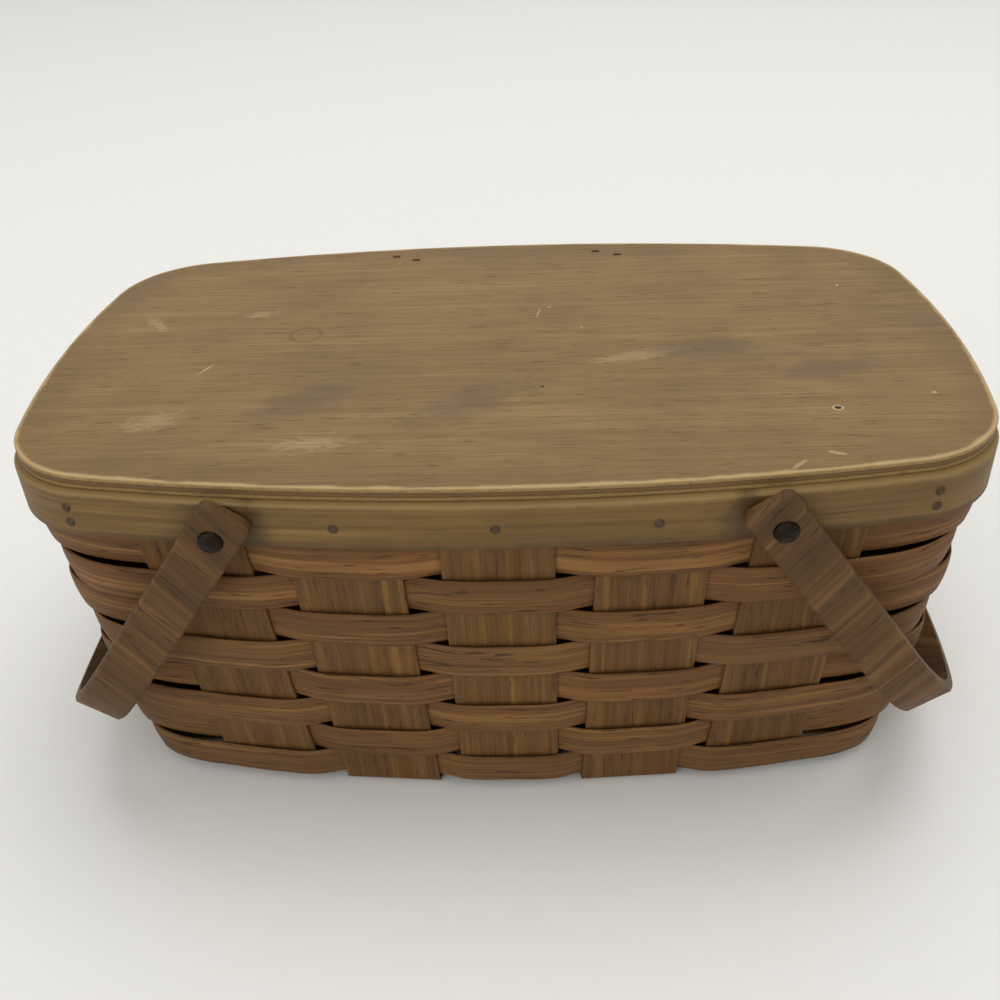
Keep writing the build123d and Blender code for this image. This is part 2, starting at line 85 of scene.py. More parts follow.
def tint(red: float, green: float, blue: float) -> Colour:
    """A colour written as 0 to 255 on a screen, as the shader's linear values.

    Args:
        red, green, blue: The screen values.

    Returns:
        The linear colour.
    """
    def straighten(level: float) -> float:
        """One channel, made linear."""
        share = level / 255
        return share / 12.92 if share <= 0.04045 else ((share + 0.055) / 1.055) ** 2.4

    return straighten(red), straighten(green), straighten(blue)


class Signal:
    """One output socket, so that shader maths can be written as expressions."""

    def __init__(self, graph: Graph, socket: bpy.types.NodeSocket) -> None:
        """Wraps a socket of the graph's node tree."""
        self.graph = graph
        self.socket = socket

    def _math(self, operation: str, *terms: object) -> Signal:
        """A Math node on the terms, in order."""
        return self.graph.node("ShaderNodeMath", {"operation": operation}, dict(enumerate(terms)))

    def __add__(self, other: object) -> Signal:
        """self + other."""
        return self._math("ADD", self, other)

    __radd__ = __add__

    def __sub__(self, other: object) -> Signal:
        """self - other."""
        return self._math("SUBTRACT", self, other)

    def __rsub__(self, other: object) -> Signal:
        """other - self."""
        return self._math("SUBTRACT", other, self)

    def __mul__(self, other: object) -> Signal:
        """self * other."""
        return self._math("MULTIPLY", self, other)

    __rmul__ = __mul__

    def __truediv__(self, other: object) -> Signal:
        """self / other."""
        return self._math("DIVIDE", self, other)

    def __pow__(self, power: float) -> Signal:
        """self raised to a power."""
        return self._math("POWER", self, power)

    def __abs__(self) -> Signal:
        """The size of self without its sign."""
        return self._math("ABSOLUTE", self)

    def least(self, other: object) -> Signal:
        """The smaller of self and other."""
        return self._math("MINIMUM", self, other)

    def most(self, other: object) -> Signal:
        """The larger of self and other."""
        return self._math("MAXIMUM", self, other)

    def between(self, low: float, high: float) -> Signal:
        """Share of the way from low to high, eased at both ends; low may be above high.

        Args:
            low: Value that gives 0.
            high: Value that gives 1.

        Returns:
            The eased share.
        """
        flip = low > high
        values = {"Value": self, "From Min": min(low, high), "From Max": max(low, high)}
        values |= {"To Min": float(flip), "To Max": float(not flip)}
        return self.graph.node("ShaderNodeMapRange", {"interpolation_type": "SMOOTHSTEP"}, values)


class Graph:
    """Node tree of one material."""

    def __init__(self, name: str) -> None:
        """Starts a material with a plain shader."""
        self.material = bpy.data.materials.new(name)
        self.material.use_nodes = True
        self.tree = self.material.node_tree
        self.shader = self.tree.nodes["Principled BSDF"]

    def link(self, value: object, socket: bpy.types.NodeSocket) -> None:
        """Joins a signal to a socket, or sets the socket's own value."""
        if isinstance(value, Signal):
            self.tree.links.new(value.socket, socket)
        elif socket.type == "RGBA" and len(value) == 3:
            socket.default_value = (*value, 1.0)
        else:
            socket.default_value = value

    def node(
        self,
        kind: str,
        settings: dict[str, object] | None = None,
        inputs: dict[str | int, object] | None = None,
        output: str | int = 0,
    ) -> Signal:
        """Adds any node.

        Args:
            kind: The node's type.
            settings: Its own settings, made first.
            inputs: Values or signals by socket name or number.
            output: The output that is wanted.

        Returns:
            That output.
        """
        made = self.tree.nodes.new(kind)
        for key, value in (settings or {}).items():
            setattr(made, key, value)
        for key, value in (inputs or {}).items():
            self.link(value, made.inputs[key])
        return Signal(self, made.outputs[output])

    def scaled(self, place: Signal, scale: Colour, offset: Colour = (0.0, 0.0, 0.0)) -> Signal:
        """The place times scale, plus offset, by Vector Math."""
        settings = {"operation": "MULTIPLY_ADD"}
        return self.node("ShaderNodeVectorMath", settings, {0: place, 1: scale, 2: offset})

    def noise(self, place: Signal, detail: float = 3.0, rough: float = 0.55, bend: float = 0.0) -> Signal:
        """Noise with a grid of one at the place.

        Args:
            place: Where, already scaled.
            detail: Number of finer layers.
            rough: How much the finer layers count.
            bend: How far the noise distorts itself.

        Returns:
            A value round 0.5.
        """
        values = {"Vector": place, "Scale": 1.0, "Detail": detail, "Roughness": rough, "Distortion": bend}
        return self.node("ShaderNodeTexNoise", {}, values)

    def blend(self, factor: object, under: object, over: object, mode: str = "MIX") -> Signal:
        """Mixes two colours.

        Args:
            factor: Share of the second colour.
            under: First colour.
            over: Second colour.
            mode: How they mix.

        Returns:
            The mixed colour.
        """
        made = self.tree.nodes.new("ShaderNodeMix")
        made.data_type = "RGBA"
        made.blend_type = mode
        for value, socket in ((factor, made.inputs[0]), (under, made.inputs[6]), (over, made.inputs[7])):
            self.link(value, socket)
        return Signal(self, made.outputs[2])

    def parts(self, place: Signal) -> tuple[Signal, Signal, Signal]:
        """The x, y and z of a place."""
        first = self.node("ShaderNodeSeparateXYZ", {}, {0: place})
        outputs = first.socket.node.outputs
        return first, Signal(self, outputs[1]), Signal(self, outputs[2])

    def dress(self, colour: Signal, rough: Signal, height: Signal, depth: float, coat: float = 0.0) -> None:
        """Joins the finished colour, roughness and relief to the shader.

        Args:
            colour: Base colour.
            rough: Roughness.
            height: Relief, from 0 to 1.
            depth: How deep a relief of 1 is.
            coat: Strength of a thin wax coat, the same all over.
        """
        self.link(colour, self.shader.inputs["Base Color"])
        self.link(rough, self.shader.inputs["Roughness"])
        bump = self.node("ShaderNodeBump", {}, {"Height": height, "Distance": depth, "Strength": 1.0})
        self.link(bump, self.shader.inputs["Normal"])
        self.shader.inputs["Specular IOR Level"].default_value = SHEEN
        self.shader.inputs["Coat Weight"].default_value = coat
        self.shader.inputs["Coat Roughness"].default_value = COAT_ROUGHNESS


class Grain(Enum):
    """Which way the wood's fibres run, as the stretch of the texture across and along them."""

    ALONG_X = (0.02, 1.0, 1.0)
    UP_AND_FRONT_TO_BACK = (1.0, 0.02, 0.02)
    UP_AND_END_TO_END = (0.02, 1.0, 0.02)
    LEVEL = (0.02, 0.02, 1.0)
    STRIP = (0.02, 1.0, 1.0)


@dataclass(frozen=True)
class Wood:
    """A wood finish: colours of the fibres, their size, and how they are worn."""

    name: str
    body: Colour
    dark: Colour
    pale: Colour
    grain: Grain
    fibres: float = 900.0
    pores: float = 0.5
    waviness: float = 0.5
    patchiness: float = 0.35
    streaks: float = 0.65
    roughness: float = 0.62
    relief: float = 0.25 * MM
    tilt: float = 0.0
    attribute: str = ""
    seed: float = 0.0

    def place(self, graph: Graph) -> Signal:
        """Place on the piece: an attribute of its strip, or the frame's own coordinates, tilted.

        Args:
            graph: The material's nodes.

        Returns:
            The place in metres.
        """
        if self.attribute:
            return graph.node("ShaderNodeAttribute", {"attribute_name": self.attribute}, {}, "Vector")
        spot = graph.node("ShaderNodeTexCoord", {}, {}, "Object")
        if not self.tilt:
            return spot
        settings = {"rotation_type": "Y_AXIS"}
        return graph.node("ShaderNodeVectorRotate", settings, {"Vector": spot, "Angle": self.tilt})

    def surface(self, graph: Graph, place: Signal) -> tuple[Signal, Signal, Signal]:
        """Colour, roughness and relief of the bare wood.

        Args:
            graph: The material's nodes.
            place: Where, in metres.

        Returns:
            The three signals.
        """
        start = (self.seed * 3.1, self.seed * 7.7, self.seed * 1.3)
        fine = tuple(self.fibres * way for way in self.grain.value)
        broad = tuple(self.fibres * 0.16 * way for way in self.grain.value)
        fleck = tuple(self.fibres * (0.55 * way if way == 1.0 else 2.6 * way) for way in self.grain.value)
        fibre = graph.noise(graph.scaled(place, fine, start), 4, 0.6, 0.2 * self.waviness)
        streak = graph.noise(graph.scaled(place, broad, start), 3, 0.55, 1.6 * self.waviness)
        pore = graph.noise(graph.scaled(place, fleck, start), 2, 0.5, 0.4).between(0.6, 0.72)
        patch = graph.noise(graph.scaled(place, (14.0, 14.0, 22.0), start), 3, 0.6)
        shade = (fibre * (1.2 - self.streaks) + streak * self.streaks - 0.1).between(0.18, 0.82)
        colour = graph.blend(shade, self.dark, self.body)
        colour = graph.blend(streak.between(0.52, 0.78) * (0.92 * self.streaks), colour, self.pale)
        colour = graph.blend(pore * self.pores, colour, tuple(0.42 * c for c in self.dark))
        dimmed = graph.blend(patch.between(0.3, 0.72), (1.16, 1.14, 1.1), (0.82, 0.83, 0.86))
        colour = graph.blend(self.patchiness * 2, colour, dimmed, "MULTIPLY")
        rough = self.roughness + (1 - fibre) * 0.16 + pore * 0.1 - 0.06
        height = fibre * 0.5 + streak * 0.3 + (1 - pore) * 0.45
        return colour, rough, height

    def material(self) -> bpy.types.Material:
        """The finished material."""
        graph = Graph(self.name)
        graph.dress(*self.surface(graph, self.place(graph)), self.relief)
        return graph.material


@dataclass(frozen=True)
class Steel:
    """Old steel or iron: a dark skin with rust and rubbed high spots."""

    name: str
    metal: Colour
    rust: Colour
    rustiness: float
    roughness: float
    relief: float = 0.12 * MM

    def material(self) -> bpy.types.Material:
        """The finished material."""
        graph = Graph(self.name)
        spot = graph.node("ShaderNodeTexCoord", {}, {}, "Object")
        grit = graph.noise(graph.scaled(spot, (900.0, 900.0, 900.0)), 4, 0.65)
        bloom = graph.noise(graph.scaled(spot, (260.0, 260.0, 260.0)), 4, 0.6, 0.6)
        rusty = bloom.between(0.62 - 0.3 * self.rustiness, 0.8 - 0.3 * self.rustiness)
        colour = graph.blend(grit, tuple(0.6 * c for c in self.metal), self.metal)
        colour = graph.blend(rusty * 0.85, colour, self.rust)
        rough = self.roughness + rusty * 0.3 + grit * 0.12
        graph.link(1 - rusty * 0.9, graph.shader.inputs["Metallic"])
        graph.dress(colour, rough, grit * 0.6 + bloom * 0.4, self.relief)
        return graph.material


class Blemish(Enum):
    """Kinds of mark on the lid."""

    SCUFF = "pale rubbed patch"
    SCRATCH = "pale scratch"
    SPECK = "pale speck"
    SMUDGE = "dark broad smudge"
    NAIL_HOLE = "dark hole with a pale ring"
    DOT = "small dark dot"
    RING = "faint dark ring"


@dataclass(frozen=True)
class Mark:
    """One mark on the lid: its kind, its middle, half its length and width, and its turn."""

    kind: Blemish
    x_mm: float
    y_mm: float
    long_mm: float
    wide_mm: float
    turn: float = 0.0

    def distance(self, graph: Graph, x: Signal, y: Signal) -> Signal:
        """Distance from the mark's middle, where 1 is its edge.

        Args:
            graph: The material's nodes.
            x, y: Place on the lid in metres.

        Returns:
            The distance.
        """
        turn = math.radians(self.turn)
        across, up = x - self.x_mm * MM, y - self.y_mm * MM
        along = (across * math.cos(turn) + up * math.sin(turn)) / (self.long_mm * MM)
        aside = (up * math.cos(turn) - across * math.sin(turn)) / (self.wide_mm * MM)
        return (along * along + aside * aside) ** 0.5


@dataclass(frozen=True)
class Lid:
    """Plywood lid: its outline, its plies and the marks of its years."""

    wood: Wood
    marks: tuple[Mark, ...]
    side_radius: float = 1.107
    end_radius: float = 0.506
    corner: float = 0.055
    # Pale ply colour, also used as a painted highlight along the worn top edge.
    pale_ply_and_edge_highlight: Colour = tint(205, 176, 122)
    dark_ply: Colour = tint(112, 84, 48)

    def corner_middle(self, long: float, wide: float) -> tuple[float, float]:
        """Middle of the corner's arc, which touches a side and an end.

        Args:
            long, wide: Half the lid's length and width.

        Returns:
            Its x and y in the +X +Y quarter.
        """
        side, end = self.side_radius - self.corner, self.end_radius - self.corner
        across, up = long - self.end_radius, self.side_radius - wide
        span = math.hypot(across, up)
        along = (side ** 2 - end ** 2 + span ** 2) / (2 * span)
        rise = math.sqrt(side ** 2 - along ** 2)
        x = (along * across + rise * up) / span
        return x, wide - self.side_radius + (along * up - rise * across) / span

    def inset(self, x: Signal, y: Signal) -> Signal:
        """Distance in from the lid's outline.

        Args:
            x, y: Place on the lid in metres.

        Returns:
            The distance in metres.
        """
        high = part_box("lid")[1]
        side = self.side_radius - (x * x + (abs(y) + (self.side_radius - high.y)) ** 2) ** 0.5
        end = self.end_radius - ((abs(x) + (self.end_radius - high.x)) ** 2 + y * y) ** 0.5
        straight = side.least(end)
        middle_x, middle_y = self.corner_middle(high.x, high.y)
        across, up = abs(x) - middle_x, abs(y) - middle_y
        rounded = self.corner - (across * across + up * up) ** 0.5
        past_side = across * (middle_y - high.y + self.side_radius) - up * middle_x
        past_end = up * (middle_x - high.x + self.end_radius) - across * middle_y
        turning = past_side.between(0.0, HAIR) * past_end.between(0.0, HAIR)
        return straight + turning * (rounded - straight)

    def marked(self, graph: Graph, colour: Signal, x: Signal, y: Signal) -> tuple[Signal, Signal]:
        """The colour with every mark on it, and how deep the marks go.

        Args:
            graph: The material's nodes.
            colour: The bare colour.
            x, y: Place on the lid in metres.

        Returns:
            The colour and the depth, from 0 to 1.
        """
        spot = graph.node("ShaderNodeTexCoord", {}, {}, "Object")
        ragged = graph.noise(graph.scaled(spot, (220.0, 420.0, 1.0)), 3, 0.65) - 0.5
        soft = graph.noise(graph.scaled(spot, (40.0, 60.0, 1.0)), 3, 0.6) - 0.5
        pale, dark = tint(196, 172, 128), tint(30, 22, 14)
        depth = ragged * 0.0
        for mark in self.marks:
            away = mark.distance(graph, x, y)
            if mark.kind is Blemish.SMUDGE:
                colour = graph.blend((away + soft * 2.2).between(1.1, 0.1) * 0.5, colour, tint(98, 82, 60))
            elif mark.kind is Blemish.SCUFF:
                colour = graph.blend((away + ragged * 2.0).between(0.95, 0.2) * 0.26, colour, pale)
            elif mark.kind is Blemish.RING:
                band = abs(away - 0.88).between(0.16, 0.05)
                colour = graph.blend(band * (0.28 + soft * 0.5), colour, dark)
            elif mark.kind in (Blemish.SCRATCH, Blemish.SPECK):
                colour = graph.blend((away + ragged * 0.9).between(1.0, 0.6) * 0.62, colour, pale)
            else:
                if mark.kind is Blemish.NAIL_HOLE:
                    colour = graph.blend(away.between(1.9, 1.3) * 0.7, colour, pale)
                hole = away.between(1.1, 0.85)
                colour = graph.blend(hole, colour, dark)
                depth = depth.most(hole)
        return colour, depth

    def material(self) -> bpy.types.Material:
        """The finished material of the lid."""
        graph = Graph(self.wood.name)
        place = self.wood.place(graph)
        x, y, z = graph.parts(place)
        colour, rough, height = self.wood.surface(graph, place)
        low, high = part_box("lid")
        inset = self.inset(x, y)
        wobble = graph.noise(graph.scaled(place, (60.0, 60.0, 60.0)), 3, 0.6) - 0.5
        colour, depth = self.marked(graph, colour, x, y)
        # Along the top arris the pale ply shows where the edge is worn. The same pale line is also a painted
        # highlight of the rounded edge.
        near_edge = (inset + wobble * 0.004).between(0.0032, 0.0006)
        rubbed = near_edge * (z - (high.z - 0.0012)).between(0.0, 0.0008)
        grimy = (inset + wobble * 0.03).between(0.03, 0.004)
        colour = graph.blend(grimy * 0.3, colour, tint(104, 80, 48))
        colour = graph.blend(rubbed * 0.62, colour, self.pale_ply_and_edge_highlight)
        share = (z + wobble * 0.0004 - low.z) / (high.z - low.z)
        middle_ply = abs(share - 0.5).between(0.2, 0.14)
        ply = graph.blend(middle_ply, tint(150, 122, 76), self.dark_ply)
        glue = abs(abs(share - 0.5) - 0.17).between(0.05, 0.015)
        ply = graph.blend(glue * 0.6, ply, tint(60, 42, 22))
        nibbled = graph.noise(graph.scaled(place, (300.0, 300.0, 900.0)), 4, 0.65)
        ply = graph.blend(nibbled.between(0.45, 0.75) * 0.55, ply, tint(84, 62, 36))
        edge = inset.between(0.0012, 0.0007) * (z - (low.z + 0.0002)).between(0.0, 0.0002)
        flat_edge = edge * (z - (high.z - 0.0006)).between(0.0005, 0.0)
        colour = graph.blend(flat_edge, colour, ply)
        height = height * (1 - depth) + nibbled * flat_edge * 0.8
        graph.dress(colour, rough, height, self.wood.relief, 0.06)
        return graph.material

    def dress(self, frame: dict) -> None:
        """Gives the lid its material."""
        put_on(frame["nodes"]["lid"], self.material())


@dataclass(frozen=True)
class StripRoute:
    """Middle line of a woven strip, as matching points on its lower and upper edges."""

    low: list[Vector]
    high: list[Vector]

    @staticmethod
    def read(node: bpy.types.Object) -> StripRoute:
        """Reads the route from a plain strip of the frame.

        Args:
            node: The strip's object.

        Returns:
            The route, from one lapped end to the other.
        """
        points = {tuple(round(c, 6) for c in v.co): v.co.copy() for v in node.data.vertices}
        keys = [tuple(round(c, 6) for c in v.co) for v in node.data.vertices]
        levels = [min(key[2] for key in points), max(key[2] for key in points)]
        return StripRoute(*(StripRoute.chain(node, keys, points, level) for level in levels))

    @staticmethod
    def chain(
        node: bpy.types.Object,
        keys: list[tuple[float, float, float]],
        points: dict[tuple[float, float, float], Vector],
        level: float,
    ) -> list[Vector]:
        """Middle points of the strip's edge face at one level, in order.

        Args:
            node: The strip's object.
            keys: Rounded place of each vertex.
            points: Exact place for each rounded one.
            level: Height of the edge face.

        Returns:
            The points in order along the strip.
        """
        count: dict[frozenset, int] = {}
        for face in node.data.polygons:
            corners = [keys[i] for i in face.vertices]
            if all(abs(corner[2] - level) < 1e-5 for corner in corners):
                for first, second in zip(corners, corners[1:] + corners[:1]):
                    pair = frozenset((first, second))
                    count[pair] = count.get(pair, 0) + 1
        nearby: dict[tuple, list] = {}
        for pair, times in count.items():
            if times == 1 and len(pair) == 2:
                first, second = pair
                nearby.setdefault(first, []).append(second)
                nearby.setdefault(second, []).append(first)
        start = min(nearby)
        loop, last, here = [start], None, start
        while True:
            onward = [key for key in nearby[here] if key != last]
            last, here = here, onward[0]
            if here == start:
                break
            loop.append(here)
        around = [points[key] for key in loop]
        size = len(around)
        lengths = [(around[i] - around[(i + 1) % size]).length for i in range(size)]
        first, second = sorted(sorted(range(size), key=lambda i: lengths[i])[:2])
        one = [around[i] for i in range(first + 1, second + 1)]
        other = [around[i % size] for i in range(second + 1, first + 1 + size)][::-1]
        middle = [(a + b) / 2 for a, b in zip(one, other)]
        if (middle[0].x, middle[0].y) > (middle[-1].x, middle[-1].y):
            middle.reverse()
        return middle

    def fine(self, step: float) -> list[tuple[Vector, Vector]]:
        """Smooth points along both edges, about a step apart.

        Args:
            step: Spacing in metres.

        Returns:
            Pairs of a lower and an upper point.
        """
        pairs = []
        last = len(self.low) - 1
        for i in range(last):
            near, far = max(i - 1, 0), min(i + 2, last)
            pieces = max(2, round((self.low[i + 1] - self.low[i]).length / step))
            for k in range(pieces + (i == last - 1)):
                t = k / pieces
                pairs.append(tuple(
                    through(line[near], line[i], line[i + 1], line[far], t) for line in (self.low, self.high)
                ))
        return pairs


def through(before: Vector, start: Vector, end: Vector, after: Vector, t: float) -> Vector:
    """A point on the smooth curve from start to end, with slopes that suit uneven spacing.

    Args:
        before, start, end, after: Four points in a row.
        t: Share of the way from start to end.

    Returns:
        The point.
    """
    run = (end - start).length
    lead, trail = max((start - before).length, 1e-6), max((after - end).length, 1e-6)
    leave = arrive = end - start
    if lead > 1e-5:
        leave = ((start - before) / lead * run + (end - start) / run * lead) / (lead + run) * run
    if trail > 1e-5:
        arrive = ((end - start) / run * trail + (after - end) / trail * run) / (trail + run) * run
    square, cube = t * t, t * t * t
    return (
        start * (2 * cube - 3 * square + 1)
        + leave * (cube - 2 * square + t)
        + end * (3 * square - 2 * cube)
        + arrive * (cube - square)
    )


@dataclass(frozen=True)
class WovenStrip:
    """One row of the wall, woven finer than the plain strip that it stands for."""

    row: int
    finish: Wood
    thick: float = 1.5 * MM
    cup: float = 0.5 * MM
    waver: float = 0.45 * MM
    step: float = 4.0 * MM
    levels: int = 8

    def section(self, t: float) -> float:
        """How far the strip bellies outwards at share t of its height."""
        return self.cup * (1 - (2 * t - 1) ** 2) * 1.5 - 0.4 * self.cup

    def build(self, frame: dict) -> bpy.types.Object:
        """Weaves the strip and puts it in place of the plain one.

        Args:
            frame: The loaded frame.

        Returns:
            The new strip.
        """
        name = f"weaver_{self.row}"
        stations = StripRoute.read(frame["nodes"][name]).fine(self.step)
        vertices, grain, faces = [], [], []
        run = 0.0
        rim = 2 * (self.levels + 1)
        for i, (low, high) in enumerate(stations):
            ahead = stations[min(i + 1, len(stations) - 1)][0] - stations[max(i - 1, 0)][0]
            if i:
                run += (low - stations[i - 1][0]).length
            out = Vector((ahead.y, -ahead.x, 0)).normalized()
            if out.dot(Vector((low.x, low.y, 0))) < 0:
                out = -out
            for side in (1, -1):
                for level in range(self.levels + 1):
                    step = level if side == 1 else self.levels - level
                    t = 0.5 - 0.5 * math.cos(math.pi * step / self.levels)
                    edge = noise.noise(Vector((run * 18, self.row * 9.7, 5.0 * round(t)))) * self.waver
                    bulk = noise.noise(Vector((run * 14, self.row * 5.1, t * 1.5))) * 0.3 * self.waver
                    square_edge = min(1.0, 3.2 * math.sqrt(max(t * (1 - t), 0.0)) + 0.35)
                    place = low.lerp(high, t)
                    place.z += edge * (2 * t - 1) ** 2 * (1 if t > 0.5 else -1)
                    offset = side * self.thick / 2 * square_edge + self.section(t) + bulk
                    vertices.append(place + out * offset)
                    layer = self.row * 0.37 + (0.2 if side == -1 else 0.0)
                    grain.append((run, t * (high - low).length, layer))
            if i:
                base = (i - 1) * rim
                for k in range(rim):
                    after = (k + 1) % rim
                    faces.append((base + k, base + after, base + rim + after, base + rim + k))
        faces.append(tuple(range(rim)))
        faces.append(tuple(reversed(range(len(vertices) - rim, len(vertices)))))
        strip = mesh_piece(f"strip_{self.row}", vertices, faces)
        store = strip.data.attributes.new("grain", "FLOAT_VECTOR", "POINT")
        store.data.foreach_set("vector", np.array(grain, np.float32).ravel())
        put_on(strip, self.finish.material())
        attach(strip, "basket")
        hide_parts(name)
        return strip


def mesh_piece(name: str, vertices: list[Vector], faces: list[tuple[int, ...]]) -> bpy.types.Object:
    """A smooth mesh object, whose faces keep the order in which they are given.

    Args:
        name: Its name.
        vertices: Its points.
        faces: Its faces, as numbers of points.

    Returns:
        The object, linked to the scene.
    """
    mesh = bpy.data.meshes.new(name)
    mesh.from_pydata([tuple(v) for v in vertices], [], faces)
    mesh.update()
    piece = bpy.data.objects.new(name, mesh)
    bpy.context.scene.collection.objects.link(piece)
    mesh.polygons.foreach_set("use_smooth", [len(face) == 4 for face in faces])
    return piece


def put_on(piece: bpy.types.Object, material: bpy.types.Material) -> None:
    """Gives a piece one material."""
    piece.data.materials.clear()
    piece.data.materials.append(material)


@dataclass(frozen=True)
class Wall:
    """The woven wall: upright splints, and the rows of strips that pass in and out of them."""

    across_splint: Wood
    along_splint: Wood
    strips: tuple[Wood, ...]
    crossing: int = 5
    lengthwise: int = 3

    def dress(self, frame: dict) -> None:
        """Weaves the strips and dresses the splints.

        Args:
            frame: The loaded frame.
        """
        across, along = self.across_splint.material(), self.along_splint.material()
        for number in range(self.crossing):
            put_on(frame["nodes"][f"cross_splint_{number + 1}"], across)
        for number in range(self.lengthwise):
            put_on(frame["nodes"][f"long_splint_{number + 1}"], along)
        for row, finish in enumerate(self.strips, start=1):
            strip = WovenStrip(row, finish).build(frame)
            LOG.info("%s has %d faces", strip.name, len(strip.data.polygons))


@dataclass(frozen=True)
class Rim:
    """The two hoops round the top, with painted shadows beside the pivots."""

    wood: Wood
    pivot_x: float = 0.1255

    def material(self) -> bpy.types.Material:
        """The finished material of the hoops."""
        graph = Graph(self.wood.name)
        place = self.wood.place(graph)
        x, _, z = graph.parts(place)
        colour, rough, height = self.wood.surface(graph, place)
        low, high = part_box("rim_outer_hoop")
        wobble = graph.noise(graph.scaled(place, (50.0, 50.0, 90.0)), 4, 0.6) - 0.5
        share = (z - low.z) / (high.z - low.z)
        # Painted highlight: the top tenth of each hoop is mixed towards a pale colour, as if lit from above.
        top = (share + wobble * 0.16).between(0.88, 0.98)
        colour = graph.blend(top * 0.4, colour, tint(158, 130, 82))
        foot = (share + wobble * 0.3).between(0.16, 0.0)
        colour = graph.blend(foot * 0.5, colour, tint(58, 42, 22))
        # Painted shadow: a dark patch on the hoops to each side of a pivot, standing for the shade cast by
        # the handle arm.
        beside = abs(abs(x) - (self.pivot_x - 0.017)) / 0.016 + abs(share - 0.45) * 1.1
        painted_pivot_shadow = (beside + wobble * 1.6).between(1.1, 0.35)
        colour = graph.blend(painted_pivot_shadow * 0.62, colour, tint(54, 40, 22))
        graph.dress(colour, rough, height, self.wood.relief, 0.05)
        return graph.material

    def dress(self, frame: dict) -> None:
        """Dresses both hoops."""
        material = self.material()
        for name in ("rim_outer_hoop", "rim_inner_hoop"):
            put_on(frame["nodes"][name], material)


@dataclass(frozen=True)
class Handle:
    """One swing handle of bent wood."""

    node: str
    wood: Wood

    def dress(self, frame: dict) -> None:
        """Dresses the handle."""
        put_on(frame["nodes"][self.node], self.wood.material())


@dataclass(frozen=True)
class Fittings:
    """Nails, rivets, burrs, spacers and hinges."""

    rivet: Steel
    nail: Steel
    hinge: Steel
    spacer: Wood

    def dress(self, frame: dict) -> None:
        """Dresses every fitting.

        Args:
            frame: The loaded frame.
        """
        nodes = frame["nodes"]
        for finish, names in (
            (self.rivet, ("pivot_rivets", "pivot_burrs")),
            (self.nail, ("rim_nails", "lid_nails")),
            (self.hinge, ("hinge_lid_leaves", "hinge_rim_leaves", "hinge_pins")),
            (self.spacer, ("pivot_spacers",)),
        ):
            material = finish.material()
            for name in names:
                put_on(nodes[name], material)


@dataclass(frozen=True)
class Studio:
    """Floor, lamps, sky and camera."""

    floor: Colour = tint(238, 236, 230)
    sky: float = 0.68
    camera_at: Colour = (0.0225, -0.5312, 0.4698)
    yaw: float = -0.0513
    pitch: float = 0.5952
    roll: float = -0.0479
    lens_share: float = 1.089

    def lay_floor(self) -> None:
        """A wide pale floor."""
        reach = 6.0
        ways = ((-1, -1), (1, -1), (1, 1), (-1, 1))
        corners = [Vector((x * reach, y * reach, 0.0)) for x, y in ways]
        floor = mesh_piece("floor", corners, [(0, 1, 2, 3)])
        graph = Graph("floor_paper")
        spot = graph.node("ShaderNodeTexCoord", {}, {}, "Object")
        tooth = graph.noise(graph.scaled(spot, (60.0, 60.0, 60.0)), 3, 0.5)
        colour = graph.blend(tooth, tuple(0.97 * c for c in self.floor), self.floor)
        graph.dress(colour, 0.75 + tooth * 0.05, tooth, 0.05 * MM)
        put_on(floor, graph.material)

    def lamp(self, name: str, place: Colour, size: float, watts: float) -> None:
        """A soft square lamp that faces the basket.

        Args:
            name: Its name.
            place: Where it hangs.
            size: Its width.
            watts: Its power.
        """
        light = bpy.data.lights.new(name, "AREA")
        light.shape, light.size, light.energy = "SQUARE", size, watts
        holder = bpy.data.objects.new(name, light)
        holder.location = place
        holder.rotation_euler = (Vector((0.0, 0.0, 0.1)) - Vector(place)).to_track_quat("-Z", "Y").to_euler()
        bpy.context.scene.collection.objects.link(holder)

    def light(self) -> None:
        """An even sky and two soft lamps."""
        world = bpy.data.worlds.new("studio")
        world.use_nodes = True
        sky = world.node_tree.nodes["Background"]
        sky.inputs["Color"].default_value = (0.98, 0.99, 1.0, 1.0)
        sky.inputs["Strength"].default_value = self.sky
        bpy.context.scene.world = world
        self.lamp("overhead", (0.5, 0.5, 3.8), 2.6, 52.0)
        self.lamp("front", (-1.8, -3.4, 2.6), 2.4, 36.0)

    def aim(self) -> None:
        """Places the camera as the photographer stood."""
        yaw, pitch, roll = self.yaw, self.pitch, self.roll
        ahead = Vector((math.sin(yaw) * math.cos(pitch), math.cos(yaw) * math.cos(pitch), -math.sin(pitch)))
        level = Vector((math.cos(yaw), -math.sin(yaw), 0.0))
        above = level.cross(ahead)
        right = math.cos(roll) * level + math.sin(roll) * above
        up = math.cos(roll) * above - math.sin(roll) * level
        camera = bpy.data.cameras.new("photographer")
        camera.sensor_width = 36.0
        camera.lens = 36.0 * self.lens_share
        camera.clip_start = 0.01
        holder = bpy.data.objects.new("photographer", camera)
        turned = Matrix((right, up, -ahead)).transposed()
        holder.matrix_world = Matrix.Translation(self.camera_at) @ turned.to_4x4()
        bpy.context.scene.collection.objects.link(holder)
        bpy.context.scene.camera = holder

    def set_up(self) -> None:
        """Makes the whole studio."""
        bpy.context.scene.view_settings.view_transform = "Standard"
        self.lay_floor()
        self.light()
        self.aim()


STRIP_BROWN = tint(122, 80, 33)
STRIP_DARK = tint(78, 48, 20)
STRIP_PALE = tint(152, 110, 62)
HANG_ANGLE = math.radians(35.8)

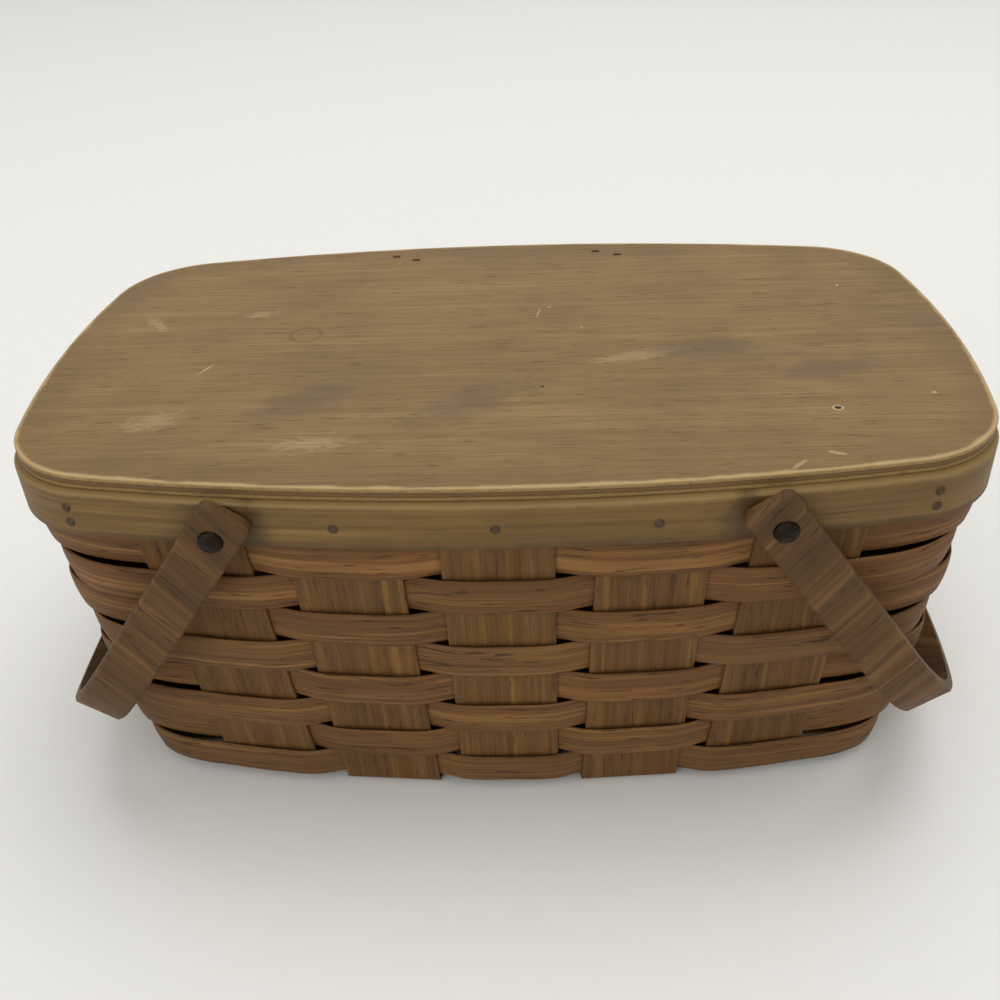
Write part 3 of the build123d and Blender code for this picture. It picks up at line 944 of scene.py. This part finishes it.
LID_MARKS = (
    Mark(Blemish.NAIL_HOLE, 160.6, -78.8, 1.7, 1.5),
    Mark(Blemish.DOT, 21.7, -51.1, 1.0, 0.9),
    Mark(Blemish.SPECK, 26.2, 43.9, 1.6, 1.1),
    Mark(Blemish.SPECK, 43.6, 16.4, 1.2, 0.9),
    Mark(Blemish.SPECK, 209.0, -65.9, 1.8, 1.2),
    Mark(Blemish.SPECK, 192.7, 63.8, 1.2, 1.4),
    Mark(Blemish.RING, -108.4, 15.2, 9.8, 9.4),
    Mark(Blemish.SCUFF, -197.0, 34.0, 17.0, 5.0, -50.0),
    Mark(Blemish.SCUFF, -138.8, 43.4, 12.0, 6.0, 10.0),
    Mark(Blemish.SCUFF, -168.2, -78.8, 21.0, 12.0, 20.0),
    Mark(Blemish.SCUFF, -86.0, -102.0, 26.0, 9.0, 5.0),
    Mark(Blemish.SCUFF, 70.0, -20.0, 34.0, 7.0, 15.0),
    Mark(Blemish.SCRATCH, -155.0, -24.1, 7.2, 0.8, 62.0),
    Mark(Blemish.SCRATCH, 132.6, -128.0, 6.8, 1.2, 44.0),
    Mark(Blemish.SCRATCH, 151.3, -119.1, 5.0, 1.6, -20.0),
    Mark(Blemish.SCRATCH, 20.0, 36.0, 8.0, 0.5, 80.0),
    Mark(Blemish.SMUDGE, -8.9, -63.4, 42.0, 18.0, 30.0),
    Mark(Blemish.SMUDGE, 161.9, -40.7, 40.0, 13.0, 12.0),
    Mark(Blemish.SMUDGE, 110.0, -14.0, 50.0, 14.0, -6.0),
    Mark(Blemish.SMUDGE, -95.0, -60.0, 40.0, 18.0, 40.0),
)


def strip_finishes() -> tuple[Wood, ...]:
    """One finish for each row of the wall, from the top; the lower rows are duller.

    Returns:
        The finishes in order.
    """
    finishes = []
    dulled = (0.0, 0.05, 0.1, 0.45, 0.15, 0.3, 0.35, 0.5)
    for row, dull in enumerate(dulled, start=1):
        grey = tint(132, 98, 52)
        body = tuple(c * (1 - dull) + g * dull for c, g in zip(STRIP_BROWN, grey))
        finishes.append(Wood(
            f"strip_wood_{row}", body, STRIP_DARK, STRIP_PALE, Grain.STRIP, fibres=1100.0,
            pores=0.75, waviness=0.9, relief=0.35 * MM, attribute="grain", seed=float(row),
        ))
    return tuple(finishes)


def main() -> None:
    """Dresses the basket, sets up the studio and reports each part."""
    logging.basicConfig(level=logging.INFO, format="%(message)s")
    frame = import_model()
    lid_wood = Wood(
        "lid_plywood", tint(143, 115, 71), tint(114, 87, 49), tint(162, 134, 88), Grain.ALONG_X,
        fibres=1200.0, pores=0.5, waviness=0.5, patchiness=0.3, streaks=0.3, roughness=0.6,
        relief=0.1 * MM, seed=3.0,
    )
    rim_wood = Wood(
        "rim_wood", tint(119, 91, 45), tint(88, 65, 30), tint(136, 108, 60), Grain.LEVEL,
        fibres=700.0, pores=0.25, waviness=0.6, roughness=0.55, relief=0.12 * MM, seed=5.0,
    )
    splints = [
        Wood(
            name, tint(116, 80, 36), tint(76, 50, 22), tint(134, 98, 50), grain,
            fibres=1300.0, pores=0.55, waviness=0.25, roughness=0.7, relief=0.2 * MM, seed=seed,
        )
        for name, grain, seed in (
            ("cross_splint_wood", Grain.UP_AND_FRONT_TO_BACK, 7.0),
            ("long_splint_wood", Grain.UP_AND_END_TO_END, 9.0),
        )
    ]
    handles = [
        Handle(node, Wood(
            f"{node}_wood", tint(103, 71, 33), tint(62, 41, 17), tint(126, 92, 50),
            Grain.UP_AND_FRONT_TO_BACK, fibres=1000.0, pores=0.6, waviness=0.35, roughness=0.6,
            relief=0.2 * MM, tilt=turn, seed=seed,
        ))
        for node, turn, seed in (("handle_right", -HANG_ANGLE, 11.0), ("handle_left", HANG_ANGLE, 13.0))
    ]
    fittings = Fittings(
        Steel("rivet_steel", tint(46, 40, 32), tint(38, 26, 16), 0.3, 0.3),
        Steel("nail_steel", tint(104, 92, 76), tint(78, 54, 34), 0.7, 0.5),
        Steel("hinge_steel", tint(120, 114, 100), tint(84, 60, 38), 0.4, 0.45),
        Wood("spacer_wood", tint(84, 60, 34), tint(52, 36, 20), tint(104, 78, 48), Grain.UP_AND_END_TO_END),
    )
    wall = Wall(*splints, strip_finishes())
    for part in (Lid(lid_wood, LID_MARKS), Rim(rim_wood), wall, *handles, fittings):
        part.dress(frame)
        LOG.info("dressed %s", type(part).__name__.lower())
    Studio().set_up()


if __name__ == "__main__":
    main()
